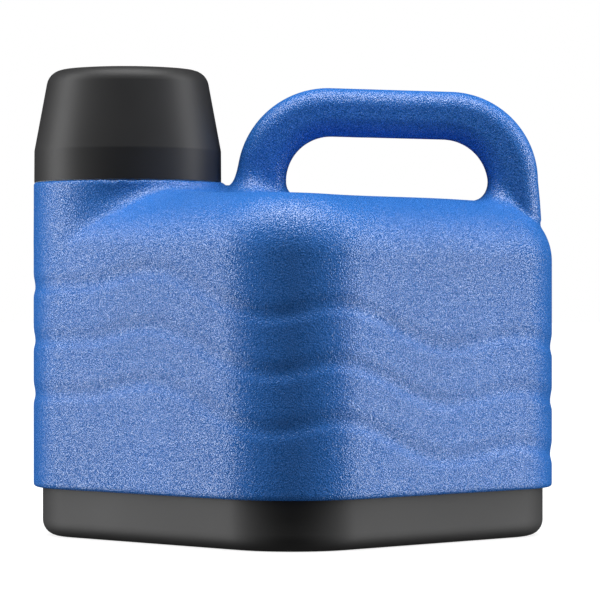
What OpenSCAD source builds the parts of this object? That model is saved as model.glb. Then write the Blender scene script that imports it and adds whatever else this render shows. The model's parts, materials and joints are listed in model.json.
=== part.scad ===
// Large insulated water jug: a rounded square body with its pouring neck over one corner
// and its carrying handle along the diagonal. Millimetres, +Z up, standing on z = 0.

/* [Body] */
// Corner to corner width of the body, which is also its corner to corner depth
body_diagonal = 280; // [270:1:300]
// Radius of the four upright corners, which is also the radius of the neck
corner_r = 50.8; // [49:0.1:54]
// Height of the flat top, where it crosses the middle of the body
top_z = 182.3; // [176:0.1:190]
// Fall of the flat top towards the handle end, in mm per mm
top_slope = 0.026; // [0:0.002:0.04]
// Radius of the rounding from the sides into the top
shoulder_r = 31; // [24:1:32]
// How much further inward that rounding reaches beside the neck
shoulder_extra = 13; // [0:1:14]
// Wall of the moulded outer shell
shell_wall = 2.8; // [2.4:0.1:3.2]

/* [Wave grooves] */
// Depth of the wavy grooves round the body
groove_depth = 1.2; // [0.6:0.1:1.6]
// Height between one groove and the next
groove_step = 28.8; // [26:0.1:29]
// Number of grooves
groove_count = 3; // [1:1:3]

/* [Base] */
// Height of the joint between the outer shell and the base
seam_z = 26.2; // [24:0.1:28]
// How far the base is set in from the side of the shell
base_inset = 4.95; // [4.5:0.05:6]
// Radius of the rounding at the foot of the base
foot_r = 8.5; // [5:0.5:10]
// Wall of the base
base_wall = 2.6; // [2:0.1:3.2]
// Depth of the recess under the base
base_recess = 1.5; // [1:0.1:2]

/* [Handle] */
// Width of the handle, across the grip
handle_w = 30; // [26:1:34]
// Radius of the long edges of the handle
handle_edge_r = 10; // [7:0.5:11]
// Highest point of the handle
handle_top_z = 241; // [238:0.5:244]

/* [Neck] */
// Height of the shell's rim round the neck
rim_z = 189.8; // [188:0.1:192]
// Radius of the mouth
mouth_r = 40.6; // [40.4:0.1:41]
// Radius of the collar under its outer thread
collar_r = 45; // [44.8:0.1:45.2]
// Height of the collar's top
collar_top_z = 206; // [205:0.1:206.5]

/* [Threads] */
// Rise of both screw threads in one turn
thread_lead = 16; // [12:1:20]
// Ridges side by side on each thread
thread_starts = 2; // [2:1:2]
// Height of a thread ridge
ridge_h = 1.6; // [1.2:0.1:1.7]

/* [Cup] */
// Height of the jug with its cup screwed on
cup_top_z = 250.6; // [249:0.1:254]
// Wall of the cup
cup_wall = 2.7; // [2.2:0.1:3]
// Height of the cup's faint waist line
cup_waist_z = 207; // [204:0.5:210]
// Radius of the rounding at the closed end of the cup
cup_round_r = 9; // [5:0.5:10]

/* [Stopper] */
// Depth of the stopper's plug under the collar's top
plug_depth = 34; // [30:1:36]
// Radius of the pouring nozzle
nozzle_r = 9.3; // [8:0.1:9.5]
// Bore of the pouring nozzle
nozzle_bore_r = 7.6; // [6.5:0.1:7.8]
// Notches round the stopper's grip
grip_notches = 20; // [12:1:24]

/* [Hidden] */

blue = [0.09, 0.27, 0.55];
black = [0.07, 0.07, 0.08];
white = [0.93, 0.93, 0.9];
foam_cream = [0.93, 0.88, 0.68];
silicone = [0.86, 0.87, 0.88];

// Plan of the body: corner centres on the X and Y axes, flats at 45 degrees between them.
corner_c = body_diagonal / 2 - corner_r;
neck_x = -corner_c;
arc_steps = 10;
flat_steps = 8;
quarter_steps = arc_steps + flat_steps;
ring_steps = 4 * quarter_steps;
arc_len = PI / 2 * corner_r;
flat_len = corner_c * sqrt(2);
quarter_len = arc_len + flat_len;
half_len = 2 * quarter_len;

shoulder_z = top_z - shoulder_r;
fit = 0.05;
round_fn = 96;

// Liner and insulation
liner_inset = 17;
liner_wall = 1.8;
liner_floor_z = 20;
liner_top_z = 163;
liner_round_r = 16;
liner_neck_r = 45.8;
liner_neck_bore_r = 43.8;
liner_neck_z = 168;
gasket_z = 184.4;
flange_z = 186;
recess_r = 47.6;
ledge_r = 46.4;

// Base
lip_z = 30;
tongue_z = 38;
base_floor = 2.5;
fill_hole_r = 9;

// Stopper
seal_t = 1.5;
seat_z = collar_top_z + seal_t;
flange_top_z = 214;
stopper_flange_r = 44.3;
plug_r = 38.6;
plug_z = collar_top_z - plug_depth;
plug_wall = 2.2;
cover_r = 40.8;
cover_t = 3.5;
nozzle_x = neck_x - 19;
nozzle_top_z = 221;
nozzle_cap_r = 12;
nozzle_cap_z = flange_top_z + 0.4;
nozzle_cap_top_z = 223.4;
hinge_x = nozzle_x + nozzle_cap_r + 3.2;
hinge_z = 217.6;
hinge_pin_r = 1.5;
hinge_knuckle_r = 3;
vent_y = 24;

// Threads: the collar's ridges start at thread_z, and their mates run midway between them.
thread_turn = 17;
thread_z = 193.4;
mate_z = thread_z + thread_lead / thread_starts / 2;

// Cup
cup_base_z = rim_z + 0.3;
cup_waist_r = corner_r - 0.3;
cup_bore_r = 47.4;
cup_taper = 0.186;
function cup_r(z) = z < cup_waist_z ? corner_r - 0.3 * (z - cup_base_z) / (cup_waist_z - cup_base_z)
                                    : cup_waist_r - cup_taper * (z - cup_waist_z);

// Turning points of the wave: [distance round the body from the neck corner, height],
// as shares of half the way round and in mm.
wave = [[0, 133.5], [0.145, 134.5], [0.272, 141.2], [0.478, 118], [0.553, 123], [0.755, 101.6],
        [0.88, 107.6], [1, 101]];
wave_mid = 120;

// Cross-section of a groove: [height from its deepest line, share of its depth].
groove_profile = [[-4.5, 0], [-1.5, 0.85], [0.5, 1], [3.5, 0.6], [7.5, 0]];

function ease(t) = (1 - cos(180 * t)) / 2;
function wave_part(s, i) = (s - wave[i][0]) / (wave[i + 1][0] - wave[i][0]);
function wave_at(s, i = 0) =
    i == len(wave) - 2 || s <= wave[i + 1][0]
        ? wave[i][1] + (wave[i + 1][1] - wave[i][1]) * ease(wave_part(s, i))
        : wave_at(s, i + 1);

// Point j of the plan is base_at(j) plus a radius along normal_at(j).
function quarter(j) = floor(j / quarter_steps);
function step(j) = j - quarter(j) * quarter_steps;
function corner_at(q) = corner_c * [cos(90 * q), sin(90 * q)];
function flat_share(j) = max(0, step(j) - arc_steps) / flat_steps;
function base_at(j) = corner_at(quarter(j)) * (1 - flat_share(j)) + corner_at(quarter(j) + 1) * flat_share(j);
function turn_at(j) = 90 * quarter(j) - 45 + 90 * min(step(j), arc_steps) / arc_steps;
function normal_at(j) = [cos(turn_at(j)), sin(turn_at(j))];
function plan_at(j, inset) = base_at(j) + (corner_r - inset) * normal_at(j);
function along(j) = quarter(j) * quarter_len
    + (step(j) <= arc_steps ? arc_len * step(j) / arc_steps : arc_len + flat_len * flat_share(j));
function from_neck(j) = let(d = abs(along(j) - half_len - arc_len / 2)) min(d, 2 * half_len - d) / half_len;

// A row is [inset, height, share of the wave, share of the top's slope, further inset beside the neck].
function beside_neck(j) = ease(max(0, min(1, (-50 - plan_at(j, 0)[0]) / 40)));
function row_points(row) = [for (j = [0:ring_steps - 1])
    let(p = plan_at(j, row[0] + row[4] * beside_neck(j)))
    [p[0], p[1], row[1] + row[2] * (wave_at(from_neck(j)) - wave_mid) - row[3] * top_slope * p[0]]];
function plain_row(inset, z) = [inset, z, 0, 0, 0];
function shoulder_rows(inset, r, steps) = [for (i = [0:steps])
    let(a = 90 * i / steps)
    [inset + r * (1 - cos(a)), shoulder_z + r * sin(a), 0, sin(a), shoulder_extra * (1 - cos(a))]];
function groove_rows() = [for (g = [groove_count - 1:-1:0], p = groove_profile)
    [groove_depth * p[1], wave_mid - g * groove_step + p[0], 1, 0, 0]];

// Closed solid through a stack of rings, with a fan at each end.
module stack(rings) {
    n = len(rings[0]);
    m = len(rings);
    function middle(ring) = [for (k = [0:2]) ([for (p = ring) p[k]] * [for (p = ring) 1]) / n];
    points = [for (ring = rings, p = ring) p, middle(rings[0]), middle(rings[m - 1])];
    sides = [for (i = [0:m - 2], j = [0:n - 1])
        let(a = i * n + j, b = i * n + (j + 1) % n) each [[a, a + n, b + n], [a, b + n, b]]];
    ends = [for (j = [0:n - 1]) each [[j, (j + 1) % n, m * n],
        [(m - 1) * n + (j + 1) % n, (m - 1) * n + j, m * n + 1]]];
    polyhedron(points, concat(sides, ends), convexity = 6);
}

module body_stack(rows) {
    stack([for (row = rows) row_points(row)]);
}

// Solid of revolution about the neck's axis; its profile is in [radius, height].
module neck_turned(profile) {
    translate([neck_x, 0, 0]) rotate_extrude($fn = round_fn) polygon(profile);
}

// Helical ridge: reach is from the embedded root to the crest, and may point inwards.
module ridge(root_r, crest_r, z, turn, span, width = 3) {
    steps = round(span / 10);
    slim = 0.62;
    rings = [for (i = [0:steps])
        let(a = turn + span * i / steps, h = z + thread_lead * span * i / steps / 360, w = width / 2,
            // The ends of the ridge sink back into the wall.
            crest = i == 0 || i == steps ? root_r + (crest_r - root_r) * 0.3 : crest_r)
        [for (p = [[root_r, -w], [crest, -w * slim], [crest, w * slim], [root_r, w]])
            [neck_x + p[0] * cos(a), p[0] * sin(a), h + p[1]]]];
    stack(crest_r < root_r ? rings : [for (ring = rings) [for (k = [3:-1:0]) ring[k]]]);
}

module ridges(root_r, crest_r, z, turn, span) {
    for (k = [0:thread_starts - 1]) {
        ridge(root_r, crest_r, z, turn + 360 * k / thread_starts, span);
    }
}

// Handle: an outer and an inner outline in the XZ plane, with a rounded section between them.
handle_left_out = [19.05, 191.9, 49.1];
handle_left_in = [20.55, 191.1, 24.2];
handle_right_out = [84, 190.75, 48.25];
handle_right_in = [80.9, 188.85, 24.85];
handle_foot_z = 160;
bend_steps = 8;
function on_arc(arc, a) = [arc[0] + arc[2] * cos(a), arc[1] + arc[2] * sin(a)];
function mix(a, b, t) = a + (b - a) * t;
handle_spans = concat(
    [[[-30.4, handle_foot_z], [-3.6, handle_foot_z]]],
    [for (i = [0:bend_steps]) let(a = 180 - 90 * i / bend_steps)
        [on_arc(handle_left_out, a), on_arc(handle_left_in, a)]],
    [for (t = [0.25, 0.5, 0.75])
        [mix(on_arc(handle_left_out, 90), on_arc(handle_right_out, 90), t),
         mix(on_arc(handle_left_in, 90), on_arc(handle_right_in, 90), t)]],
    [for (i = [0:bend_steps]) let(a = 90 - 90 * i / bend_steps)
        [on_arc(handle_right_out, a), on_arc(handle_right_in, a)]],
    [[[133.5, handle_foot_z + 8], [106, handle_foot_z + 8]]]);

// Section of the handle across one span: a rounded rectangle, shrunk by skin on every side.
function handle_ring(span, skin, edge_steps) =
    let(mid = (span[0] + span[1]) / 2, out = (span[0] - span[1]) / norm(span[0] - span[1]),
        half_t = norm(span[0] - span[1]) / 2 - skin, half_w = handle_w / 2 - skin,
        r = handle_edge_r - skin)
    [for (c = [[1, 1], [-1, 1], [-1, -1], [1, -1]], i = [0:edge_steps])
        let(q = c[0] > 0 ? (c[1] > 0 ? 0 : 3) : (c[1] > 0 ? 1 : 2),
            a = 90 * q + 90 * i / edge_steps,
            u = c[0] * (half_t - r) + r * cos(a), v = c[1] * (half_w - r) + r * sin(a))
        [mid[0] + out[0] * u, -v, mid[1] + out[1] * u]];

module handle_solid(skin, edge_steps) {
    lift = handle_top_z - handle_left_out[1] - handle_left_out[2];
    translate([0, 0, lift]) stack([for (span = handle_spans) handle_ring(span, skin, edge_steps)]);
}

// Moulded shell with its hollow handle. An empty resize keeps it as one smooth skin.
module outer_shell() {
    edge = 1.6;
    deep = 3;
    neck_low = 144;
    color(blue) resize([0, 0, 0]) difference() {
        union() {
            body_stack(concat(
                [plain_row(base_inset - 0.02, seam_z), plain_row(edge, seam_z),
                 plain_row(edge * 0.3, seam_z + edge * 0.3), plain_row(0, seam_z + edge)],
                groove_rows(), shoulder_rows(0, shoulder_r, 6)));
            neck_turned([[0, neck_low], [corner_r - 0.05, neck_low], [corner_r - 0.05, rim_z - 0.8],
                [corner_r - 0.8, rim_z], [0, rim_z]]);
            handle_solid(0, 4);
        }
        body_stack(concat(
            [plain_row(base_inset - 0.02, seam_z - 1), plain_row(base_inset - 0.02, lip_z),
             plain_row(shell_wall, lip_z + 4)],
            shoulder_rows(shell_wall, shoulder_r - shell_wall, 5)));
        neck_turned([[0, 150], [ledge_r, 150], [ledge_r, flange_z], [recess_r, flange_z],
            [recess_r, rim_z + 1], [0, rim_z + 1]]);
        intersection() {
            handle_solid(deep, 2);
            translate([-50, -50, 170]) cube([250, 100, 100]);
        }
    }
}

// Base: a shallow tray with a foot ring, whose rim snaps up inside the shell.
module base_cover() {
    inner = base_inset + base_wall;
    bead = 3.6;
    ring_w = 12;
    recess_inset = base_inset + foot_r + ring_w;
    function foot_rows(inset, r) = [for (i = [0:4])
        let(a = 90 * (1 - i / 4)) plain_row(inset + r * (1 - cos(a)), r * (1 - sin(a)))];
    color(black) resize([0, 0, 0]) difference() {
        body_stack(concat(foot_rows(base_inset, foot_r),
            [plain_row(base_inset, lip_z + 0.3), plain_row(bead, lip_z + 3.6), plain_row(bead, lip_z + 5),
             plain_row(base_inset, tongue_z)]));
        body_stack([plain_row(inner + 4, base_recess + base_floor), plain_row(inner, foot_r),
            plain_row(inner, tongue_z + 1)]);
        body_stack([plain_row(recess_inset, -1), plain_row(recess_inset, 0),
            plain_row(recess_inset + 1, base_recess)]);
        translate([0, 0, -1]) cylinder(h = 10, r = fill_hole_r, $fn = 48);
    }
}

// Plug that closes the hole through which the insulation was poured.
module foam_fill_plug() {
    color(black) difference() {
        union() {
            translate([0, 0, base_recess - 1]) cylinder(h = 1, r = fill_hole_r + 3, $fn = 48);
            translate([0, 0, base_recess - 1]) cylinder(h = 6.5, r = fill_hole_r - fit, $fn = 48);
        }
        translate([0, 0, base_recess + 1]) cylinder(h = 6, r = fill_hole_r - 2, $fn = 48);
        translate([0, 0, base_recess - 2]) cylinder(h = 1.6, r = 2.5, $fn = 24);
    }
}

// Outside of the liner, or its inside when skin is the liner's wall.
module liner_form(skin) {
    r = liner_round_r - skin;
    inset = liner_inset + skin;
    low = liner_floor_z + skin;
    high = liner_top_z - skin;
    neck_r = liner_neck_r - (skin > 0 ? liner_neck_r - liner_neck_bore_r : 0);
    body_stack(concat(
        [for (a = [90:-22.5:0]) plain_row(inset + r * (1 - cos(a)), low + r * (1 - sin(a)))],
        [for (a = [0:22.5:90]) plain_row(inset + r * (1 - cos(a)), high - r * (1 - sin(a)))]));
    neck_turned([[0, low + 100], [corner_r - inset, 150], [neck_r, liner_neck_z],
        [neck_r, gasket_z + (skin > 0 ? 1 : 0)], [0, gasket_z + (skin > 0 ? 1 : 0)]]);
}

// White bottle that holds the water.
module inner_liner() {
    color(white) resize([0, 0, 0]) difference() {
        liner_form(0);
        liner_form(liner_wall);
    }
}

// Poured insulation that fills the space between the liner and the shell and base.
module insulation_foam() {
    gap = 0.1;
    inner = base_inset + base_wall + gap;
    low = base_recess + base_floor + gap;
    color(foam_cream) resize([0, 0, 0]) difference() {
        body_stack(concat(
            [plain_row(inner + 4, low), plain_row(inner + 4, foot_r + gap), plain_row(inner, foot_r + gap),
             plain_row(inner, tongue_z + gap), plain_row(shell_wall + gap, tongue_z + gap)],
            shoulder_rows(shell_wall + gap, shoulder_r - shell_wall - gap, 5)));
        liner_form(0);
        neck_turned([[0, 150], [liner_neck_r, 150], [liner_neck_r, 200], [0, 200]]);
        translate([0, 0, -1]) cylinder(h = base_recess + 7, r = fill_hole_r, $fn = 48);
    }
}

// Soft ring between the collar's flange and the liner's mouth.
module neck_gasket() {
    color(silicone) neck_turned([[liner_neck_bore_r, gasket_z], [liner_neck_r, gasket_z],
        [liner_neck_r, flange_z], [liner_neck_bore_r, flange_z]]);
}

// Screw collar of the mouth: an outer thread for the cup and an inner one for the stopper.
module neck_collar() {
    sleeve_r = liner_neck_bore_r - 0.2;
    flange_top = rim_z - 0.3;
    color(white) {
        neck_turned([[mouth_r, 172], [sleeve_r, 172], [sleeve_r, flange_z],
            [recess_r - fit, flange_z], [recess_r - fit, flange_top], [collar_r, flange_top],
            [collar_r, collar_top_z - 0.8], [collar_r - 0.8, collar_top_z], [mouth_r, collar_top_z]]);
        ridges(collar_r - 0.4, collar_r + ridge_h, thread_z, thread_turn, 190);
        ridges(mouth_r + 0.4, mouth_r - ridge_h + 0.2, thread_z, thread_turn, 190);
    }
}

// Soft ring under the stopper's flange.
module stopper_seal() {
    color(silicone) neck_turned([[mouth_r + 0.3, collar_top_z], [collar_r - 0.9, collar_top_z],
        [collar_r - 0.9, seat_z], [mouth_r + 0.3, seat_z]]);
}

// Threaded plug of the stopper, with a notched rim for the fingers.
module stopper_body() {
    pocket_z = flange_top_z - cover_t;
    color(black) {
        difference() {
            neck_turned([[0, plug_z], [plug_r - 1, plug_z], [plug_r, plug_z + 1], [plug_r, seat_z],
                [stopper_flange_r, seat_z], [stopper_flange_r, flange_top_z - 1],
                [stopper_flange_r - 1, flange_top_z], [cover_r, flange_top_z], [cover_r, pocket_z],
                [plug_r - plug_wall, pocket_z], [plug_r - plug_wall, plug_z + plug_wall],
                [0, plug_z + plug_wall]]);
            for (k = [0:grip_notches - 1]) {
                translate([neck_x, 0, 0]) rotate((k + 0.5) * 360 / grip_notches) {
                    translate([stopper_flange_r + 1.2, 0, seat_z - 1]) cylinder(h = 10, r = 2.4, $fn = 24);
                }
            }
            translate([nozzle_x, 0, plug_z - 1]) cylinder(h = 5, r = nozzle_r + fit, $fn = 48);
            translate([neck_x, vent_y, plug_z - 1]) {
                cylinder(h = 5, r = 1.8, $fn = 24);
                for (a = [0:120:240]) {
                    rotate(a) translate([3.6, 0, 0]) cylinder(h = 5, r = 0.9, $fn = 16);
                }
            }
        }
        ridges(plug_r - 0.4, plug_r + ridge_h - 0.2, mate_z, thread_turn, 150);
    }
}

// Insulation inside the stopper.
module stopper_insulation() {
    low = plug_z + plug_wall;
    high = flange_top_z - cover_t - 0.2;
    color(foam_cream) difference() {
        translate([neck_x, 0, low]) cylinder(h = high - low, r = plug_r - plug_wall - 0.1, $fn = round_fn);
        translate([nozzle_x, 0, low - 1]) cylinder(h = 50, r = nozzle_r + 0.1, $fn = 48);
        translate([neck_x, vent_y, low - 1]) cylinder(h = 50, r = 5.5, $fn = 48);
    }
}

// Cover of the stopper: hinge ears for the nozzle's cap and a bar to turn it by.
module stopper_top() {
    low = flange_top_z - cover_t;
    bar_r = 3.5;
    ear_t = 3;
    ear_y = 5.2;
    color(black) difference() {
        union() {
            translate([neck_x, 0, low]) cylinder(h = cover_t, r = cover_r - fit, $fn = round_fn);
            hull() for (x = [10, 33], h = [0, 12]) {
                translate([neck_x + x, 0, flange_top_z - 1 + h]) {
                    cylinder(h = 1, r = bar_r - h * 0.08, $fn = 32);
                    translate([0, 0, h > 0 ? 1 : 0]) cylinder(h = 0.5, r = bar_r - 1.2, $fn = 32);
                }
            }
            for (side = [-1, 1]) {
                translate([hinge_x, side * (ear_y + ear_t / 2), 0]) {
                    translate([0, 0, hinge_z]) rotate([90, 0, 0]) {
                        cylinder(h = ear_t, r = hinge_knuckle_r, center = true, $fn = 32);
                    }
                    translate([-hinge_knuckle_r, -ear_t / 2, flange_top_z - 1]) {
                        cube([2 * hinge_knuckle_r, ear_t, hinge_z - flange_top_z + 1]);
                    }
                }
            }
        }
        translate([nozzle_x, 0, low - 1]) cylinder(h = 10, r = nozzle_r + fit, $fn = 48);
        for (a = [0:120:240]) {
            translate([neck_x, vent_y, low - 1]) rotate(a) translate([3, 0, 0]) cylinder(h = 10, r = 1, $fn = 16);
        }
        translate([hinge_x, 0, hinge_z]) rotate([90, 0, 0]) {
            cylinder(h = 30, r = hinge_pin_r, center = true, $fn = 32);
        }
    }
}

// Soft one-way valve that lets air in while the jug pours.
module vent_valve() {
    color(silicone) translate([neck_x, vent_y, 0]) rotate_extrude($fn = 48) {
        polygon([[0, plug_z - 1.4], [2, plug_z - 1.4], [5.6, plug_z - 0.5], [5.6, plug_z], [1.75, plug_z],
            [1.75, plug_z + plug_wall], [2.5, plug_z + plug_wall], [1, plug_z + plug_wall + 3],
            [0, plug_z + plug_wall + 3]]);
    }
}

// Tube that the water pours through, held in the stopper.
module pour_nozzle() {
    color(black) translate([nozzle_x, 0, 0]) rotate_extrude($fn = 64) {
        polygon([[nozzle_bore_r, plug_z], [nozzle_r, plug_z], [nozzle_r, nozzle_top_z - 0.8],
            [nozzle_r - 0.6, nozzle_top_z], [nozzle_bore_r, nozzle_top_z]]);
    }
}

// Flip cap over the nozzle, with its knuckle between the stopper's ears.
module nozzle_cap() {
    wall = 1.9;
    knuckle_half = 5;
    color(black) difference() {
        union() {
            translate([nozzle_x, 0, 0]) rotate_extrude($fn = 64) {
                polygon([[0, nozzle_cap_z], [nozzle_cap_r, nozzle_cap_z],
                    [nozzle_cap_r, nozzle_cap_top_z - 2], [nozzle_cap_r - 2, nozzle_cap_top_z],
                    [0, nozzle_cap_top_z]]);
            }
            translate([nozzle_x, -knuckle_half, hinge_z - 2]) {
                cube([hinge_x - nozzle_x, 2 * knuckle_half, 4]);
            }
            translate([hinge_x, 0, hinge_z]) rotate([90, 0, 0]) {
                cylinder(h = 2 * knuckle_half, r = hinge_knuckle_r, center = true, $fn = 32);
            }
            translate([nozzle_x - nozzle_cap_r - 2, -4, nozzle_cap_z + 3]) cube([5, 8, 2.5]);
        }
        translate([nozzle_x, 0, nozzle_cap_z - 1]) {
            cylinder(h = nozzle_cap_top_z - nozzle_cap_z + 1 - 1.9, r = nozzle_cap_r - wall, $fn = 64);
        }
        // Flared mouth, which clears the nozzle while the cap swings.
        translate([nozzle_x, 0, nozzle_cap_z - 0.01]) {
            cylinder(h = 1.3, r1 = nozzle_cap_r - wall + 0.65, r2 = nozzle_cap_r - wall, $fn = 64);
        }
        translate([hinge_x, 0, hinge_z]) rotate([90, 0, 0]) {
            cylinder(h = 30, r = hinge_pin_r + fit, center = true, $fn = 32);
        }
    }
}

module nozzle_cap_pin() {
    color([0.7, 0.7, 0.72]) translate([hinge_x, 0, hinge_z]) rotate([90, 0, 0]) {
        cylinder(h = 16.4, r = hinge_pin_r, center = true, $fn = 32);
    }
}

// Soft disc inside the flip cap, which closes the nozzle.
module nozzle_cap_seal() {
    color(silicone) translate([nozzle_x, 0, nozzle_top_z + 0.05]) {
        cylinder(h = nozzle_cap_top_z - 1.9 - nozzle_top_z - 0.05, r = nozzle_cap_r - 2, $fn = 64);
    }
}

// Soft ring let into the rim of the cup.
module cup_seal() {
    color(silicone) neck_turned([[48.3, rim_z + 0.05], [49.9, rim_z + 0.05], [49.9, cup_base_z + 1.2],
        [48.3, cup_base_z + 1.2]]);
}

// Drinking cup, which screws over the collar and stopper.
module cup() {
    arc_z = cup_top_z - cup_round_r;
    arc_r = cup_r(arc_z) - cup_round_r * 0.98;
    tilt = atan(cup_taper);
    in_r = cup_round_r - cup_wall;
    color(black) {
        neck_turned(concat(
            [[48.2, cup_base_z + 1.25], [48.2, cup_base_z + 0.3], [cup_bore_r + 0.3, cup_base_z],
             [cup_bore_r, cup_base_z + 0.3], [cup_bore_r, cup_waist_z]],
            [for (i = [0:6]) on_arc([arc_r, arc_z, in_r], mix(tilt, 90, i / 6))],
            [[0, arc_z + in_r], [0, cup_top_z]],
            [for (i = [0:8]) on_arc([arc_r, arc_z, cup_round_r], mix(90, tilt, i / 8))],
            [[cup_waist_r, cup_waist_z], [corner_r, cup_base_z + 0.8], [corner_r - 0.4, cup_base_z],
             [50, cup_base_z], [50, cup_base_z + 1.25]]));
        ridges(cup_bore_r + 0.4, cup_bore_r - ridge_h, mate_z, thread_turn, 150);
    }
}

outer_shell();
base_cover();
foam_fill_plug();
insulation_foam();
inner_liner();
neck_gasket();
neck_collar();
stopper_seal();
stopper_body();
stopper_insulation();
stopper_top();
vent_valve();
pour_nozzle();
nozzle_cap();
nozzle_cap_pin();
nozzle_cap_seal();
cup_seal();
cup();
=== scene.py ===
import json
import math

import bmesh
import bpy
import numpy as np
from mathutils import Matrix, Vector


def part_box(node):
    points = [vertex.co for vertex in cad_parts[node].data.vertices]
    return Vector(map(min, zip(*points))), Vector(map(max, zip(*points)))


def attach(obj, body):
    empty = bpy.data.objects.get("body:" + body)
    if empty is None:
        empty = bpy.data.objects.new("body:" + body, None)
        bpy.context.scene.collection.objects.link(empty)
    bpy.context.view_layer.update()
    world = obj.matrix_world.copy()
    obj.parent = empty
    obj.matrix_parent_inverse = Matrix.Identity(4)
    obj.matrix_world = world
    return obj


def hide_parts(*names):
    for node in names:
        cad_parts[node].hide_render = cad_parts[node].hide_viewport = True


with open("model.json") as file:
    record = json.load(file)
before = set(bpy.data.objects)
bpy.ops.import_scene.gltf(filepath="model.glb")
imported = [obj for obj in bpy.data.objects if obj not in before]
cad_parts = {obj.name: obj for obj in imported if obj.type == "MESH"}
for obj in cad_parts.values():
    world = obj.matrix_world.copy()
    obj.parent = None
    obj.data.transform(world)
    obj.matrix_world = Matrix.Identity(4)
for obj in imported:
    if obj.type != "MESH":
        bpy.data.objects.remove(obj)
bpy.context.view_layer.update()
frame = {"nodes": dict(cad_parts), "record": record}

# ---------------------------------------------------------------------------
# Sizes. Everything below is in millimetres until a mesh is made, in metres.
# ---------------------------------------------------------------------------
MM = 0.001


def box_mm(node):
    """Lowest and highest corner of a CAD node."""
    low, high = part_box(node)
    return low / MM, high / MM


shell_low, shell_high = box_mm("outer_shell")
base_high = box_mm("base_cover")[1]
cup_low, cup_high = box_mm("cup")
collar_high = box_mm("neck_collar")[1]
nozzle_low, nozzle_high = box_mm("pour_nozzle")
flip_high = box_mm("nozzle_cap")[1]
pin_low, pin_high = box_mm("nozzle_cap_pin")

HALF = shell_high.x                           # half of the body's diagonal
CORNER_R = (cup_high.x - cup_low.x) / 2       # upright corners, neck and cup rim
CORNER_C = HALF - CORNER_R                    # corner centres, on the X and Y axes
NECK_X = -CORNER_C
SEAM_Z = shell_low.z
HANDLE_TOP = shell_high.z
BASE_INSET = 4.95                             # the base's side, set in from the shell's
BEAD_INSET = HALF - base_high.x               # its snap bead, inside the shell
FLAT_LEN = CORNER_C * math.sqrt(2)
TOP_Z = 182.3                                 # flat top, where it crosses the middle
TOP_SLOPE = 0.026
TOP_CROWN = 1.5                               # how much lower it is at the two plain corners
SHOULDER_R = 31.0
SHOULDER_Z = TOP_Z - SHOULDER_R
SHELL_WALL = 4.2                              # 3 mm of it behind the grooves
RIM_Z = cup_low.z - 0.3

# Heights at the neck
NECK_FOOT = 172.0                             # lower end of the collar and the stopper
SEAT_Z = 186.0                                # underside of the collar's flange
FLANGE_Z = 207.5                              # underside of the stopper's flange
COVER_Z = 210.5                               # underside of the stopper's cover
STOPPER_TOP = 214.0

# Threads, stopper and nozzle
THREAD_LEAD = 16.0
THREAD_TURN = 17
THREAD_Z = 193.4                              # start of the collar's ridges
MATE_Z = THREAD_Z + THREAD_LEAD / 4           # start of the ridges that run between them
COLLAR_R = 45.0
MOUTH_R = 40.6
PLUG_R = 38.6
CUP_BORE_R = 47.4
NOTCHES = 20
NOZZLE_X = (nozzle_low.x + nozzle_high.x) / 2
NOZZLE_HOLE_R = 9.35
VENT_Y = 24.0
PIN_R = 1.5
HINGE_X = (pin_low.x + pin_high.x) / 2
HINGE_Z = (pin_low.z + pin_high.z) / 2

# Turning points of the wavy grooves: share of the way round from the neck corner, height.
WAVE = [(0, 133.5), (0.145, 134.5), (0.272, 141.2), (0.478, 118), (0.553, 123), (0.755, 101.6),
        (0.88, 107.6), (1, 101)]
GROOVE_STEP = 28.8
GROOVE_DEPTH = 0.95
GROOVE_UP = 8.0                               # reach of the groove's slow upper flank
GROOVE_DOWN = 5.5                             # reach of its steeper lower flank

# Handle: outline arcs in the XZ plane as (x, z, radius).
LEFT_OUT = (19.05, 191.9, 49.1)
LEFT_IN = (20.55, 191.1, 24.2)
RIGHT_OUT = (84.0, 190.75, 48.25)
RIGHT_IN = (80.9, 188.85, 24.85)
HANDLE_HALF_W = 15.0
HANDLE_EDGE_R = 10.0


# ---------------------------------------------------------------------------
# Signed distances, in mm, for arrays of points
# ---------------------------------------------------------------------------
def round_both(a, b, r):
    """Intersection of two solids whose common edge is rounded with radius r."""
    a = a + r
    b = b + r
    return np.minimum(np.maximum(a, b), 0) + np.hypot(np.maximum(a, 0), np.maximum(b, 0)) - r


def join(a, b, k):
    """Union of two solids with a soft fillet about k wide."""
    k = np.maximum(k, 1e-6)
    h = np.maximum(k - np.abs(a - b), 0) / k
    return np.minimum(a, b) - h * h * k / 4


def ease(t):
    """Smooth step from 0 to 1 while t goes from 0 to 1."""
    t = np.clip(t, 0, 1)
    return t * t * (3 - 2 * t)


def plan_distance(x, y):
    """Distance from the body's rounded square plan, whose flats face along the diagonals."""
    u = np.abs(x + y) / math.sqrt(2) - FLAT_LEN / 2
    v = np.abs(x - y) / math.sqrt(2) - FLAT_LEN / 2
    return np.hypot(np.maximum(u, 0), np.maximum(v, 0)) + np.minimum(np.maximum(u, v), 0) - CORNER_R


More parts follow.
